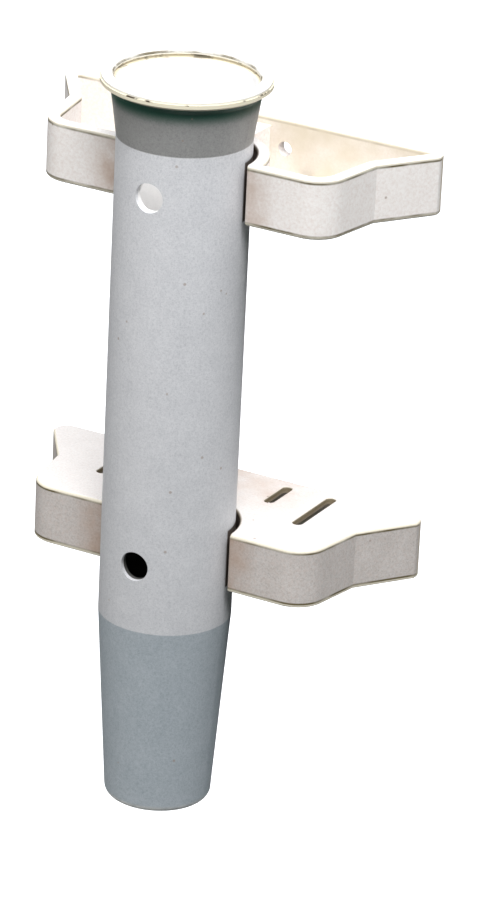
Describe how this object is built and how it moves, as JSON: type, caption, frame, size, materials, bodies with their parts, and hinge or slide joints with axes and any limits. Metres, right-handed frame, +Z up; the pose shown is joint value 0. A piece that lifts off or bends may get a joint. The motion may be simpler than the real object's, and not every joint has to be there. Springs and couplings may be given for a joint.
{
  "type": "rod holder",
  "caption": "Wall-mounted rod holder: a flared, tapered tube held off a bulkhead by two hollow slotted brackets, each fixed to it by a screw from inside.",
  "frame": {"origin": "centre of the four bulkhead screw holes, on the bulkhead plane, midway between the two brackets", "axes": "+Z up along the tube towards its mouth, +Y into the bulkhead, +X along the brackets to the right as seen from the front"},
  "size_m": [0.146, 0.08, 0.264],
  "materials": {
    "tube_plastic": "fine-grained moulded polypropylene, cool white",
    "ring_plastic": "smooth moulded white",
    "bracket_plastic": "fine-grained moulded polypropylene, warm white",
    "stainless": "turned stainless steel"
  },
  "bodies": {
    "root": {"rod_tube": "tube_plastic", "mouth_ring": "ring_plastic", "upper_bracket": "bracket_plastic", "lower_bracket": "bracket_plastic", "upper_tube_screw": "stainless", "lower_tube_screw": "stainless", "upper_captive_nut": "stainless", "lower_captive_nut": "stainless"}
  },
  "joints": []
}
